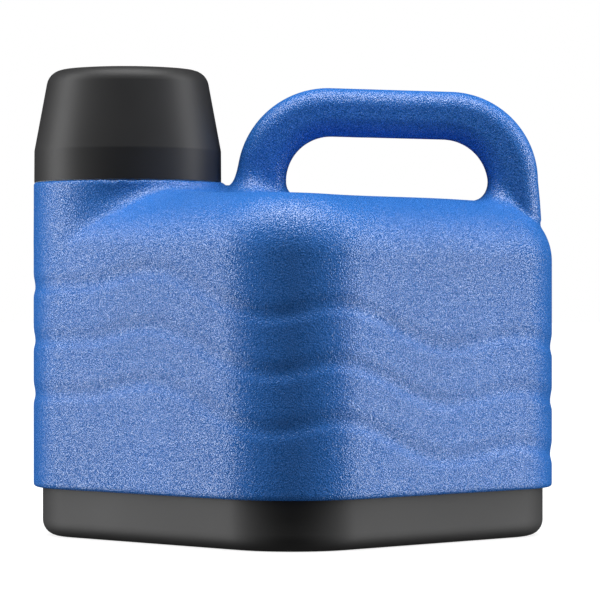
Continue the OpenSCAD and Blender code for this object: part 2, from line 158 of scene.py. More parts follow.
def way_round(x, y):
    """Share of the way round the plan from the neck corner (0) to the handle corner (1)."""
    y = np.abs(y)
    s = 1 / math.sqrt(2)
    quarter = math.pi / 4 * CORNER_R
    near_left = (x + CORNER_C) * s + y * s                     # along the flat on the neck's side
    near_right = x * s - (y - CORNER_C) * s                    # along the flat on the handle's side
    angle_left = np.arctan2(y, -(x + CORNER_C))
    angle_near = np.clip(0.75 * math.pi - np.arctan2(y - CORNER_C, x), 0, math.pi / 2)
    angle_right = np.arctan2(y, x - CORNER_C)
    first = quarter + FLAT_LEN
    second = first + 2 * quarter
    out = np.where(near_left < 0, CORNER_R * np.clip(angle_left, 0, math.pi / 4), quarter + near_left)
    out = np.where(near_left > FLAT_LEN, first + CORNER_R * angle_near, out)
    out = np.where((near_left > FLAT_LEN) & (near_right > 0), second + near_right, out)
    last = second + FLAT_LEN + CORNER_R * (math.pi / 4 - np.clip(angle_right, 0, math.pi / 4))
    out = np.where((near_left > FLAT_LEN) & (near_right > FLAT_LEN), last, out)
    return out / (second + FLAT_LEN + quarter)


def wave_height(share):
    """Height of the top groove, eased from one turning point to the next, and its slope."""
    z = np.full_like(share, WAVE[-1][1])
    slope = np.zeros_like(share)
    total = 2 * FLAT_LEN + math.pi * CORNER_R
    for (s0, z0), (s1, z1) in zip(WAVE, WAVE[1:]):
        t = np.clip((share - s0) / (s1 - s0), 0, 1)
        inside = (share >= s0) & (share < s1)
        z = np.where(inside, z0 + (z1 - z0) * (1 - np.cos(math.pi * t)) / 2, z)
        slope = np.where(inside, (z1 - z0) * math.pi / 2 * np.sin(math.pi * t) / ((s1 - s0) * total), slope)
    return z, slope


def groove_cut(x, y, z):
    """Depth of the grooves at a point of the wall."""
    height, slope = wave_height(way_round(x, y))
    cut = np.zeros_like(x)
    for k in range(3):
        h = (z - (height - k * GROOVE_STEP)) / np.sqrt(1 + slope ** 2)
        reach = np.where(h > 0, GROOVE_UP, GROOVE_DOWN)
        cut += np.where(np.abs(h) < reach, (1 + np.cos(math.pi * h / reach)) / 2, 0)
    return GROOVE_DEPTH * cut


def arc_points(arc, start, end, steps):
    """Points on an (x, z, radius) arc between two angles in degrees."""
    return [(arc[0] + arc[2] * math.cos(math.radians(a)), arc[1] + arc[2] * math.sin(math.radians(a)))
            for a in np.linspace(start, end, steps + 1)]


def handle_outlines():
    """Outer outline of the handle and the outline of its grip gap, as closed polygons in XZ."""
    lift = HANDLE_TOP - LEFT_OUT[1] - LEFT_OUT[2]
    outer = [(-30.4, 120), (-30.4, 160)]
    outer += arc_points(LEFT_OUT, 180, 90, 24) + arc_points(RIGHT_OUT, 90, 0, 24)
    outer += [(133.3, 180), (134, 170), (131, 158), (122, 140), (118, 120)]
    inner = [(-3.5, 120)]
    inner += arc_points(LEFT_IN, 180, 90, 16) + arc_points(RIGHT_IN, 90, 0, 16)
    inner += [(105.9, 120)]
    return [np.array([(x, z + lift) for x, z in line]) for line in (outer, inner)]


def polygon_distance(x, z, polygon):
    """Signed distance of points in a plane from a closed polygon."""
    best = np.full(x.shape, 1e9)
    inside = np.zeros(x.shape, bool)
    for (ax, az), (bx, bz) in zip(polygon, np.roll(polygon, -1, axis=0)):
        ex, ez = bx - ax, bz - az
        t = np.clip(((x - ax) * ex + (z - az) * ez) / (ex * ex + ez * ez), 0, 1)
        best = np.minimum(best, (x - ax - t * ex) ** 2 + (z - az - t * ez) ** 2)
        crosses = (az > z) != (bz > z)
        if ez:
            inside ^= crosses & (x < ax + (z - az) * ex / ez)
    return np.sqrt(best) * np.where(inside, -1, 1)


OUTER_LINE, INNER_LINE = handle_outlines()


def handle_plane(x, z):
    """Distance from the handle's flat outline, without its thickness."""
    return np.maximum(polygon_distance(x, z, OUTER_LINE), -polygon_distance(x, z, INNER_LINE))


def shell_distance(x, y, z, flat_handle):
    """Distance from the hollow shell with its grooves, handle and neck."""
    wall = plan_distance(x, y)
    top = z - (TOP_Z - TOP_SLOPE * x - TOP_CROWN * ease((np.abs(y) - 30) / 70))
    # The shoulder reaches further inward beside the neck.
    reach = SHOULDER_R + 13.0 * ease((-50 - x) / 40)
    body = round_both((wall + groove_cut(x, y, z)) * SHOULDER_R / reach, top, SHOULDER_R)
    handle = round_both(flat_handle, np.abs(y) - HANDLE_HALF_W, HANDLE_EDGE_R)
    # The handle's fillet is widest beside the neck, and narrow at the handle's corner.
    fillet = 9 + 9 * ease((-8 - x) / 15) + 4 * ease((x - 80) / 15) - 11.5 * ease((x - 112) / 12)
    body = join(body, handle, fillet)
    neck_wall = np.hypot(x - NECK_X, y) - CORNER_R + 0.05
    neck = round_both(neck_wall, z - RIM_Z, 0.9)
    neck = np.maximum(neck, SHOULDER_Z - z)
    rise = np.maximum(z - SHOULDER_Z, 0)
    soft = np.minimum(7, 0.8 * (np.hypot(SHOULDER_R, rise) - SHOULDER_R))
    body = np.where(z > SHOULDER_Z, join(body, neck, soft), body)
    body = round_both(body, SEAM_Z - z, 1.6)
    bore = np.where(z > SEAT_Z, 47.6, 46.4)
    hole = np.maximum(np.hypot(x - NECK_X, y) - bore, 150 - z)
    # Space inside the shell, which narrows to a lip round the base.
    skin = SHELL_WALL + 0.6 * ease((-50 - x) / 40)
    lip = BASE_INSET - 0.02 - SHELL_WALL
    inside = round_both((wall + skin + lip * (1 - ease((z - 30) / 4))) * SHOULDER_R / reach, top + skin,
                        SHOULDER_R - SHELL_WALL)
    return np.maximum(body, -np.minimum(hole, inside))


def surface_nets(field, low, step):
    """Closed quad mesh of the zero level of a sampled field: one point for each cell it crosses."""
    inside = field < 0
    corner = [(i, j, k) for i in (0, 1) for j in (0, 1) for k in (0, 1)]
    nx, ny, nz = (n - 1 for n in field.shape)

    def part(a, i, j, k):
        return a[i:i + nx, j:j + ny, k:k + nz]

    count = sum(part(inside, *c).astype(np.int8) for c in corner)
    cells = (count > 0) & (count < 8)
    index = np.full(cells.shape, -1, np.int64)
    where = np.argwhere(cells)
    index[cells] = np.arange(len(where))
    total = np.zeros((len(where), 3))
    hits = np.zeros(len(where))
    for a in corner:
        for axis in range(3):
            if a[axis]:
                continue
            b = list(a)
            b[axis] = 1
            fa = part(field, *a)[cells]
            fb = part(field, *b)[cells]
            cross = (fa < 0) != (fb < 0)
            t = np.where(cross, fa / np.where(cross, fa - fb, 1), 0)
            point = np.array(a, float)[None, :].repeat(len(t), 0)
            point[:, axis] = t
            total += point * cross[:, None]
            hits += cross
    points = (where + total / hits[:, None]) * step + low
    faces = []
    for axis in range(3):
        u, v = (axis + 1) % 3, (axis + 2) % 3
        first = [slice(None)] * 3
        second = [slice(None)] * 3
        first[axis] = slice(0, -1)
        second[axis] = slice(1, None)
        a, b = inside[tuple(first)], inside[tuple(second)]
        edges = np.argwhere(a != b)
        edges = edges[(edges[:, u] > 0) & (edges[:, v] > 0)]
        edges = edges[(edges[:, u] < field.shape[u] - 1) & (edges[:, v] < field.shape[v] - 1)]
        du = np.eye(3, dtype=int)[u]
        dv = np.eye(3, dtype=int)[v]
        quad = np.stack([index[tuple((edges - du - dv).T)], index[tuple((edges - dv).T)],
                         index[tuple(edges.T)], index[tuple((edges - du).T)]], 1)
        outward = a[tuple(edges.T)]
        faces.append(np.where(outward[:, None], quad, quad[:, ::-1]))
    return points, np.concatenate(faces)


def make_mesh(name, points, faces):
    """Smooth shaded object from points in millimetres."""
    mesh = bpy.data.meshes.new(name)
    points = np.asarray(points, float) * MM
    mesh.from_pydata(points.tolist(), [], [list(map(int, f)) for f in faces])
    mesh.update()
    mesh.validate()
    mesh.polygons.foreach_set("use_smooth", [True] * len(mesh.polygons))
    obj = bpy.data.objects.new(name, mesh)
    bpy.context.scene.collection.objects.link(obj)
    return obj


def build_shell():
    """Mesh of the shell: its distance is sampled on a grid, and the points are then moved onto it."""
    step = 1.7
    low = np.array([-HALF - 4.1, -HALF - 4.1, SEAM_Z - 3.3])
    high = np.array([HALF + 4.1, HALF + 4.1, HANDLE_TOP + 4.1])
    axes = [np.arange(low[k], high[k] + step, step) for k in range(3)]
    flat = handle_plane(*np.meshgrid(axes[0], axes[2], indexing="ij"))
    field = np.empty([len(a) for a in axes], np.float32)
    for j, y in enumerate(axes[1]):
        x, z = np.meshgrid(axes[0], axes[2], indexing="ij")
        field[:, j, :] = shell_distance(x, np.full_like(x, y), z, flat)
    points, faces = surface_nets(field, low, step)

    def distance(p):
        return shell_distance(p[:, 0], p[:, 1], p[:, 2], handle_plane(p[:, 0], p[:, 2]))

    small = 0.05
    for _ in range(3):
        d = distance(points)
        slope = np.stack([(distance(points + small * e) - d) / small for e in np.eye(3)], 1)
        size = np.maximum((slope ** 2).sum(1), 0.3)
        move = -d[:, None] * slope / size[:, None]
        reach = np.linalg.norm(move, axis=1, keepdims=True)
        points = points + move * np.minimum(1, 0.6 * step / np.maximum(reach, 1e-9))
    return make_mesh("shell_moulding", points, faces)


# ---------------------------------------------------------------------------
# Outlines with rounded corners, turned about the neck's axis or swept round the plan
# ---------------------------------------------------------------------------
def rounded(outline, closed=True, steps=7, hold=0.3):
    """Outline of (a, b, radius) points as (a, b) points, each corner turned into an arc.

    Every straight run gets a point close to each of its ends, so that smooth shading
    keeps it flat up to the arcs."""
    runs = []
    n = len(outline)
    for i, (a, b, r) in enumerate(outline):
        here = Vector((a, b))
        if not closed and i in (0, n - 1) or r <= 0:
            runs.append([here])
            continue
        back = Vector(outline[i - 1][:2]) - here
        on = Vector(outline[(i + 1) % n][:2]) - here
        half = back.angle(on) / 2
        reach = min(r / math.tan(half), 0.49 * back.length, 0.49 * on.length)
        start, end = here + back.normalized() * reach, here + on.normalized() * reach
        w = math.sin(half)                        # weight that makes the quadratic a circle
        runs.append([(start * (1 - t) ** 2 + here * (2 * t * (1 - t) * w) + end * t ** 2)
                     / ((1 - t) ** 2 + 2 * t * (1 - t) * w + t ** 2)
                     for t in (k / steps for k in range(steps + 1))])
    out = []
    for i, run in enumerate(runs):
        out += run
        if not closed and i == n - 1:
            break
        gap = runs[(i + 1) % n][0] - run[-1]
        if gap.length > 3 * hold:
            step = gap.normalized() * hold
            out += [run[-1] + step, run[-1] + gap - step]
    return [(p.x, p.y) for p in out]


def grid_faces(rows, columns):
    """Faces of a grid of points that closes on itself both ways."""
    faces = []
    for i in range(rows):
        k = (i + 1) % rows
        for j in range(columns):
            m = (j + 1) % columns
            faces.append((i * columns + j, k * columns + j, k * columns + m, i * columns + m))
    return faces


def meets_axis(outline):
    """Whether an outline starts and ends on the axis it is turned about."""
    return outline[0][0] <= 0 and outline[-1][0] <= 0


def revolved(name, line, centre, segments, wobble=None):
    """Solid of revolution of (radius, height) points, closed or from the axis and back to it."""
    on_axis = meets_axis(line)
    bm = bmesh.new()
    angles = [2 * math.pi * k / segments for k in range(segments)]
    rings = []
    for r, z in line:
        if r <= 1e-6:
            rings.append([bm.verts.new((centre[0] * MM, centre[1] * MM, z * MM))])
            continue
        ring = []
        for a in angles:
            rr = r if wobble is None else wobble(r, z, a)
            ring.append(bm.verts.new(((centre[0] + rr * math.cos(a)) * MM,
                                      (centre[1] + rr * math.sin(a)) * MM, z * MM)))
        rings.append(ring)
    pairs = list(zip(rings, rings[1:])) + ([] if on_axis else [(rings[-1], rings[0])])
    for low, high in pairs:
        for j in range(segments):
            k = (j + 1) % segments
            if len(low) == 1:
                bm.faces.new((low[0], high[k], high[j]))
            elif len(high) == 1:
                bm.faces.new((low[j], low[k], high[0]))
            else:
                bm.faces.new((low[j], low[k], high[k], high[j]))
    return finish_mesh(name, bm)


def turned(name, outline, centre=(NECK_X, 0), segments=160, wobble=None):
    """Solid of revolution of an outline of (radius, height, corner radius) points."""
    line = rounded(outline, closed=not meets_axis(outline))
    return revolved(name, line, centre, segments, wobble)


def finish_mesh(name, bm, crisp=None):
    """Object with smooth shading, but for edges that turn by more than crisp degrees."""
    bmesh.ops.recalc_face_normals(bm, faces=bm.faces)
    mesh = bpy.data.meshes.new(name)
    bm.to_mesh(mesh)
    bm.free()
    mesh.polygons.foreach_set("use_smooth", [True] * len(mesh.polygons))
    if crisp:
        mesh.set_sharp_from_angle(angle=math.radians(crisp))
    obj = bpy.data.objects.new(name, mesh)
    bpy.context.scene.collection.objects.link(obj)
    return obj


def plan_points(inset, corner_steps=24, flat_steps=10):
    """Points round the body's plan, anticlockwise."""
    out = []
    for q in range(4):
        cx, cy = CORNER_C * math.cos(q * math.pi / 2), CORNER_C * math.sin(q * math.pi / 2)
        nx, ny = CORNER_C * math.cos((q + 1) * math.pi / 2), CORNER_C * math.sin((q + 1) * math.pi / 2)
        for k in range(corner_steps + 1):
            a = (q - 0.5 + k / corner_steps) * math.pi / 2
            out.append((cx + (CORNER_R - inset) * math.cos(a), cy + (CORNER_R - inset) * math.sin(a)))
        a = (q + 0.5) * math.pi / 2
        for k in range(1, flat_steps):
            t = k / flat_steps
            out.append((cx + (nx - cx) * t + (CORNER_R - inset) * math.cos(a),
                        cy + (ny - cy) * t + (CORNER_R - inset) * math.sin(a)))
    return out


def swept(name, outline, hole_r):
    """Tray: an (inset, height) outline carried round the body's plan and closed across a round hole.

    The outline starts and ends in the floor, at its top and underside."""
    line = rounded(outline, closed=False)
    plans = [[(x, y, z) for x, y in plan_points(inset)] for inset, z in line]
    circle = [Vector((x, y)).normalized() * hole_r for x, y, z in plans[-1]]
    plans += [[(c.x, c.y, z) for c in circle] for z in (line[-1][1], line[0][1])]
    bm = bmesh.new()
    verts = [bm.verts.new(Vector(p) * MM) for ring in plans for p in ring]
    for face in grid_faces(len(plans), len(circle)):
        bm.faces.new([verts[i] for i in face])
    return finish_mesh(name, bm, 50)


def loft(name, rings):
    """Closed solid through rings of the same number of points."""
    bm = bmesh.new()
    rows = [[bm.verts.new(Vector(p) * MM) for p in ring] for ring in rings]
    n = len(rows[0])
    for low, high in zip(rows, rows[1:]):
        for j in range(n):
            k = (j + 1) % n
            bm.faces.new((low[j], low[k], high[k], high[j]))
    bm.faces.new(rows[0][::-1])
    bm.faces.new(rows[-1])
    return finish_mesh(name, bm)


def slab(name, outline, y0, y1, r):
    """Plate between y0 and y1 with a convex (x, z) outline and edges rounded with radius r."""
    n = len(outline)
    inward = []
    for i in range(n):
        t = Vector(outline[(i + 1) % n]) - Vector(outline[i - 1])
        inward.append(Vector((-t.y, t.x)).normalized())
    middle = sum((Vector(p) for p in outline), Vector((0, 0))) / n
    if (middle - Vector(outline[0])).dot(inward[0]) < 0:
        inward = [-v for v in inward]
    steps = 5
    half = [(r + 0.3, 0)] + [(r * (1 - math.sin(a)), r * (1 - math.cos(a)))
                             for a in (math.pi / 2 * k / steps for k in range(steps + 1))] + [(0, r + 0.3)]
    rows = [(inset, y0 + up) for inset, up in half] + [(inset, y1 - up) for inset, up in reversed(half)]
    return loft(name, [[(p[0] + v.x * inset, y, p[1] + v.y * inset) for p, v in zip(outline, inward)]
                       for inset, y in rows])


def box_outline(x0, x1, z0, z1, r):
    """Rectangle with rounded corners."""
    return rounded([(x0, z0, r), (x1, z0, r), (x1, z1, r), (x0, z1, r)])


def rod(name, centre, r, z0, z1, segments=64):
    """Upright cylinder with crisp edges."""
    return revolved(name, [(0, z0), (r, z0), (r, z1), (0, z1)], centre, segments)


def laid(obj, x, z):
    """Turn a solid built about the Z axis so that its axis runs along Y through (x, z)."""
    for v in obj.data.vertices:
        a, b, c = v.co
        v.co = (x * MM + a, -c, z * MM + b)
    return obj


def carve(obj, holes):
    """Cut holes through a solid, and keep the cut edges crisp."""
    for hole in holes:
        cut = obj.modifiers.new("cut", "BOOLEAN")
        cut.operation = "DIFFERENCE"
        cut.solver = "EXACT"
        cut.object = hole
    mesh = bpy.data.meshes.new_from_object(obj.evaluated_get(bpy.context.evaluated_depsgraph_get()))
    obj.modifiers.clear()
    obj.data = mesh
    mesh.set_sharp_from_angle(angle=math.radians(50))
    for hole in holes:
        bpy.data.objects.remove(hole)
    return obj


def merged(name, objects):
    """One object from closed solids that sink into each other."""
    bm = bmesh.new()
    for obj in objects:
        bm.from_mesh(obj.data)
        bpy.data.objects.remove(obj)
    mesh = bpy.data.meshes.new(name)
    bm.to_mesh(mesh)
    bm.free()
    obj = bpy.data.objects.new(name, mesh)
    bpy.context.scene.collection.objects.link(obj)
    return obj


def thread_ridges(name, root, crest, low, span):
    """The two ridges of a screw thread, which rise from the wall and sink back into it."""
    ridges = []
    for start in range(2):
        rings = []
        steps = int(span / 2.5)
        for i in range(steps + 1):
            share = i / steps
            fade = ease(min(share, 1 - share) * span / 12)
            top = root + (crest - root) * (0.25 + 0.75 * float(fade))
            turn = math.radians(THREAD_TURN + 180 * start + span * share)
            height = low + THREAD_LEAD * span * share / 360
            section = rounded([(root, -1.5, 0), (top, -0.93, 0.45), (top, 0.93, 0.45), (root, 1.5, 0)],
                              steps=4, hold=0.1)
            rings.append([(NECK_X + r * math.cos(turn), r * math.sin(turn), height + z) for r, z in section])
        ridges.append(loft(f"{name}_{start}", rings))
    return ridges


# ---------------------------------------------------------------------------
# Materials
# ---------------------------------------------------------------------------
class Material:
    """Node material with one principled shader and short helpers for procedural inputs."""

    def __init__(self, name, colour, roughness, **sockets):
        self.material = bpy.data.materials.new(name)
        self.material.use_nodes = True
        self.tree = self.material.node_tree
        self.shader = self.tree.nodes["Principled BSDF"]
        self.shader.inputs["Base Color"].default_value = (*colour, 1)
        self.shader.inputs["Roughness"].default_value = roughness
        for key, value in sockets.items():
            self.shader.inputs[key.replace("_", " ")].default_value = value
        self.place = self.node("ShaderNodeTexCoord").outputs["Object"]

    def node(self, kind, **values):
        made = self.tree.nodes.new(kind)
        for key, value in values.items():
            setattr(made, key, value)
        return made

    def link(self, source, target):
        self.tree.links.new(source, target)

    def noise(self, scale, detail, stretch=(1, 1, 1)):
        made = self.node("ShaderNodeTexNoise")
        made.inputs["Scale"].default_value = scale
        made.inputs["Detail"].default_value = detail
        if stretch == (1, 1, 1):
            self.link(self.place, made.inputs["Vector"])
        else:
            mapping = self.node("ShaderNodeMapping")
            mapping.inputs["Scale"].default_value = stretch
            self.link(self.place, mapping.inputs["Vector"])
            self.link(mapping.outputs["Vector"], made.inputs["Vector"])
        return made.outputs["Fac"]

    def cells(self, scale):
        made = self.node("ShaderNodeTexVoronoi")
        made.inputs["Scale"].default_value = scale
        self.link(self.place, made.inputs["Vector"])
        return made.outputs["Distance"]

    def span(self, value, low, high, to_low, to_high):
        """Value carried from the range low to high into the range to_low to to_high, and clamped."""
        made = self.node("ShaderNodeMapRange")
        for key, number in (("From Min", low), ("From Max", high), ("To Min", to_low), ("To Max", to_high)):
            made.inputs[key].default_value = number
        self.link(value, made.inputs["Value"])
        return made.outputs["Result"]

    def math(self, operation, a, b):
        made = self.node("ShaderNodeMath", operation=operation)
        for socket, value in zip(made.inputs, (a, b)):
            if isinstance(value, (int, float)):
                socket.default_value = value
            else:
                self.link(value, socket)
        return made.outputs["Value"]

    def blend_colour(self, share, a, b):
        made = self.node("ShaderNodeMix", data_type="RGBA")
        self.link(share, made.inputs["Factor"])
        made.inputs["A"].default_value = (*a, 1)
        made.inputs["B"].default_value = (*b, 1)
        self.link(made.outputs["Result"], self.shader.inputs["Base Color"])

    def roughness(self, value):
        self.link(value, self.shader.inputs["Roughness"])

    def bump(self, *layers):
        """Layers of (height, strength, distance in mm), the finest last."""
        normal = None
        for height, strength, distance in layers:
            made = self.node("ShaderNodeBump")
            made.inputs["Strength"].default_value = strength
            made.inputs["Distance"].default_value = distance * MM
            self.link(height, made.inputs["Height"])
            if normal is not None:
                self.link(normal, made.inputs["Normal"])
            normal = made.outputs["Normal"]
        self.link(normal, self.shader.inputs["Normal"])


def blue_plastic():
    """Moulded polyethylene with a fine leather grain, glossy on its grains and dull in its pits."""
    m = Material("blue_grained_plastic", (0.027, 0.15, 0.5), 0.28, Specular_IOR_Level=0.6)
    pits = m.noise(2100, 0)
    # Painted shade: the colour is darker in the grain's pits and lighter on its grains, over a broad random
    # mottle.
    pit_shade_and_mottle = m.math("ADD", m.span(m.noise(9, 3), 0.3, 0.7, 0, 0.2), m.span(pits, 0.36, 0.64, 0.0, 0.8))
    m.blend_colour(pit_shade_and_mottle, (0.012, 0.085, 0.3), (0.041, 0.211, 0.69))
    m.link(m.span(pits, 0.42, 0.58, 0.0, 1.3), m.shader.inputs["Specular IOR Level"])
    m.roughness(m.span(m.noise(1700, 1), 0.3, 0.7, 0.24, 0.32))
    m.bump((m.noise(1100, 1), 1.0, 0.36), (pits, 1.0, 0.14))
    return m.material


def black_plastic(name, colour, roughness, gloss):
    m = Material(name, colour, roughness, Specular_IOR_Level=gloss)
    fine = m.noise(2200, 2)
    broad = m.noise(14, 3)
    m.blend_colour(m.span(broad, 0.3, 0.7, 0, 1), colour, tuple(c * 1.25 for c in colour))
    m.roughness(m.span(broad, 0.3, 0.7, roughness - 0.03, roughness + 0.04))
    m.bump((fine, 0.2, 0.02))
    return m.material


def pale_plastic(name, colour, roughness):
    m = Material(name, colour, roughness, Subsurface_Weight=0.1)
    broad = m.noise(20, 3)
    m.blend_colour(m.span(broad, 0.3, 0.7, 0, 1), colour, tuple(c * 0.96 for c in colour))
    m.roughness(m.span(m.noise(300, 3), 0.3, 0.7, roughness - 0.04, roughness + 0.05))
    m.bump((m.noise(700, 3), 0.15, 0.03))
    return m.material


def foam():
    m = Material("foam", (0.75, 0.62, 0.33), 0.95)
    cells = m.cells(700)
    m.blend_colour(m.span(cells, 0, 0.8, 0, 1), (0.55, 0.43, 0.2), (0.8, 0.68, 0.38))
    m.bump((cells, 0.8, 0.4))
    return m.material


def silicone():
    m = Material("silicone", (0.62, 0.64, 0.66), 0.38, Subsurface_Weight=0.25)
    m.blend_colour(m.span(m.noise(60, 3), 0.3, 0.7, 0, 1), (0.6, 0.62, 0.64), (0.68, 0.7, 0.72))
    m.bump((m.noise(900, 2), 0.15, 0.02))
    return m.material


def steel():
    m = Material("pin_steel", (0.55, 0.56, 0.58), 0.3, Metallic=1.0)
    m.roughness(m.span(m.noise(900, 3, stretch=(1, 0.05, 1)), 0.3, 0.7, 0.22, 0.4))
    m.bump((m.noise(1200, 2), 0.1, 0.01))
    return m.material


MATERIALS = {
    "shell_blue": blue_plastic(),
    "base_black": black_plastic("base_black_plastic", (0.024, 0.024, 0.0245), 0.6, 0.6),
    "cup_black": black_plastic("cup_black_plastic", (0.02, 0.02, 0.0205), 0.45, 0.36),
    "stopper_black": black_plastic("stopper_black_plastic", (0.011, 0.011, 0.012), 0.36, 0.45),
    "liner_white": pale_plastic("liner_white_plastic", (0.78, 0.78, 0.75), 0.3),
    "collar_white": pale_plastic("collar_white_plastic", (0.74, 0.74, 0.72), 0.4),
    "foam_cream": foam(),
    "seal_clear": silicone(),
    "pin_steel": steel(),
}
SLOT_OF = {s["node"]: s["material_slot"] for s in frame["record"]["subparts"]}


def dress(obj, slot):
    obj.data.materials.clear()
    obj.data.materials.append(MATERIALS[slot])


def piece(obj, body, node):
    """Let a detailed piece stand for one CAD node."""
    dress(obj, SLOT_OF[node])
    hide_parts(node)
    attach(obj, body)


# ---------------------------------------------------------------------------
# Pieces
# ---------------------------------------------------------------------------
def build_base():
    """Black base: a tray with a rounded foot, a foot ring and a snap bead above the seam."""
    wall = 2.6
    low = BASE_INSET
    outline = [
        (40, 4.0, 0), (low + wall + 4, 4.0, 4), (low + wall, 9, 3), (low + wall, base_high.z, 0.5),
        (low, base_high.z, 0.5), (low, 35.0, 0.6), (BEAD_INSET, 34.7, 0.4), (BEAD_INSET, 33.4, 0.6),
        (low, 30.4, 0.6), (low, 0, 8.5), (low + 20, 0, 0.6), (low + 21, 1.5, 0.6), (40, 1.5, 0)]
    return swept("base_tray", outline, 9.0)


def build_fill_plug():
    outline = [(0, 1.1, 0), (2.5, 1.1, 0.3), (2.5, 0.5, 0.15), (12, 0.5, 0.3), (12, 1.5, 0.2), (8.95, 1.5, 0),
               (8.95, 7, 0.4), (7, 7, 0.4), (7, 2.5, 0.6), (0, 2.5, 0)]
    return turned("fill_plug", outline, (0, 0), 96)


def build_gasket():
    low = 184.4
    outline = [(43.8, low, 0.3), (45.8, low, 0.3), (45.8, SEAT_Z, 0.3), (43.8, SEAT_Z, 0.3)]
    return turned("neck_gasket_ring", outline)


def build_collar():
    """White screw collar, threaded outside for the cup and inside for the stopper."""
    rim = collar_high.z
    ledge = 189.5
    outline = [(MOUTH_R, NECK_FOOT, 0.5), (43.6, NECK_FOOT, 0.5), (43.6, SEAT_Z, 0), (47.55, SEAT_Z, 0.3),
               (47.55, ledge, 0.5), (COLLAR_R, ledge, 0.5), (COLLAR_R, rim, 0.8), (MOUTH_R, rim, 0.8)]
    return merged("screw_collar", [turned("collar_wall", outline, segments=256)]
                  + thread_ridges("collar_outer", COLLAR_R - 0.4, COLLAR_R + 1.6, THREAD_Z, 190)
                  + thread_ridges("collar_inner", MOUTH_R + 0.4, MOUTH_R - 1.4, THREAD_Z, 190))


def build_stopper_seal():
    low, top = 206.03, 207.45
    outline = [(40.9, low, 0.4), (44.1, low, 0.4), (44.1, top, 0.5), (40.9, top, 0.5)]
    return turned("stopper_ring", outline)


def notched(r, z, a):
    """Radius of the stopper's flange with its finger notches."""
    if r < 41.5 or z < 207:
        return r
    share = a * NOTCHES / (2 * math.pi) - 0.5
    across = abs(share - round(share)) * 2 * math.pi / NOTCHES * r
    depth = 1.2 * (1 + math.cos(math.pi * min(1, across / 2.9))) / 2
    return r - depth * float(ease((r - 41.5) / 2))


def vent_holes(r, reach, low, high, middle=0.0):
    """Cutters for the three air holes of the vent, and for the one in their middle if it has a radius."""
    holes = [rod("hole", (NECK_X + reach * math.cos(a), VENT_Y + reach * math.sin(a)), r, low, high, 24)
             for a in (0, 2 * math.pi / 3, 4 * math.pi / 3)]
    return holes + ([rod("hole", (NECK_X, VENT_Y), middle, low, high, 32)] if middle else [])


def build_stopper():
    """Threaded plug with a notched flange, open on top for its insulation."""
    low, top = NECK_FOOT, STOPPER_TOP
    floor = low + 2.2
    outline = [(0, low, 0), (PLUG_R, low, 1.2), (PLUG_R, FLANGE_Z, 0.3), (44.3, FLANGE_Z, 0.5),
               (44.3, top, 1.3), (40.8, top, 0.3), (40.8, COVER_Z, 0.1), (36.4, COVER_Z, 0.3),
               (36.4, floor, 1.5), (0, floor, 0)]
    wall = turned("plug_wall", outline, segments=NOTCHES * 24, wobble=notched)
    wall = carve(wall, [rod("hole", (NOZZLE_X, 0), NOZZLE_HOLE_R, low - 1, low + 4)]
                 + vent_holes(0.9, 3.6, low - 1, low + 4, 1.8))
    return merged("stopper_plug", [wall] + thread_ridges("plug", PLUG_R - 0.4, PLUG_R + 1.4, MATE_Z, 150))


def build_stopper_top():
    """Cover of the stopper with the bar to turn it by and the ears of the flip cap's hinge."""
    low, top = COVER_Z, STOPPER_TOP
    cover = turned("cover", [(0, low, 0), (40.75, low, 0.3), (40.75, top, 0.7), (0, top, 0)], segments=256)
    cover = carve(cover, [rod("hole", (NOZZLE_X, 0), NOZZLE_HOLE_R, low - 1, top + 1)]
                  + vent_holes(1.0, 3, low - 1, top + 1))
    bar_top = 226.5
    flank = rounded([(4.4, top - 0.4, 0), (3.5, top + 0.9, 0.9), (2.54, 225.6, 1.2), (1.5, bar_top, 0.6),
                     (1.0, bar_top, 0)], closed=False, steps=5)
    rings = []
    for r, z in flank:
        right = [(NECK_X + 33 + r * math.cos(a), r * math.sin(a), z)
                 for a in (math.pi * (k / 20 - 0.5) for k in range(21))]
        left = [(NECK_X + 10 - r * math.cos(a), -r * math.sin(a), z)
                for a in (math.pi * (k / 20 - 0.5) for k in range(21))]
        rings.append(right + left)
    bar = loft("grip_bar", rings)
    outline = [(HINGE_X - 3, top - 0.6), (HINGE_X - 3, HINGE_Z)]
    outline += [(HINGE_X - 3 * math.cos(a), HINGE_Z + 3 * math.sin(a)) for a in
                (math.pi * k / 24 for k in range(1, 24))]
    outline += [(HINGE_X + 3, HINGE_Z), (HINGE_X + 3, top - 0.6)]
    ears = [carve(slab("ear", outline, side * 6.7 - 1.5, side * 6.7 + 1.5, 0.35),
                  [laid(rod("hole", (0, 0), PIN_R, side * -10, side * -4, 32), HINGE_X, HINGE_Z)])
            for side in (-1, 1)]
    return merged("stopper_cover", [cover, bar] + ears)


def build_valve():
    outline = [(0, 170.6, 0), (2, 170.6, 0.3), (5.6, 171.5, 0.3), (5.6, 172, 0.1), (1.75, 172, 0.1),
               (1.75, 174.2, 0.1), (2.5, 174.2, 0.2), (1, 177.2, 0.4), (0, 177.2, 0)]
    return turned("air_valve", outline, (NECK_X, VENT_Y), 64)


def build_nozzle():
    low, top = nozzle_low.z, nozzle_high.z
    outline = [(7.6, low, 0.3), (9.3, low, 0.3), (9.3, top, 0.8), (7.6, top, 0.6)]
    return turned("nozzle_tube", outline, (NOZZLE_X, 0), 128)


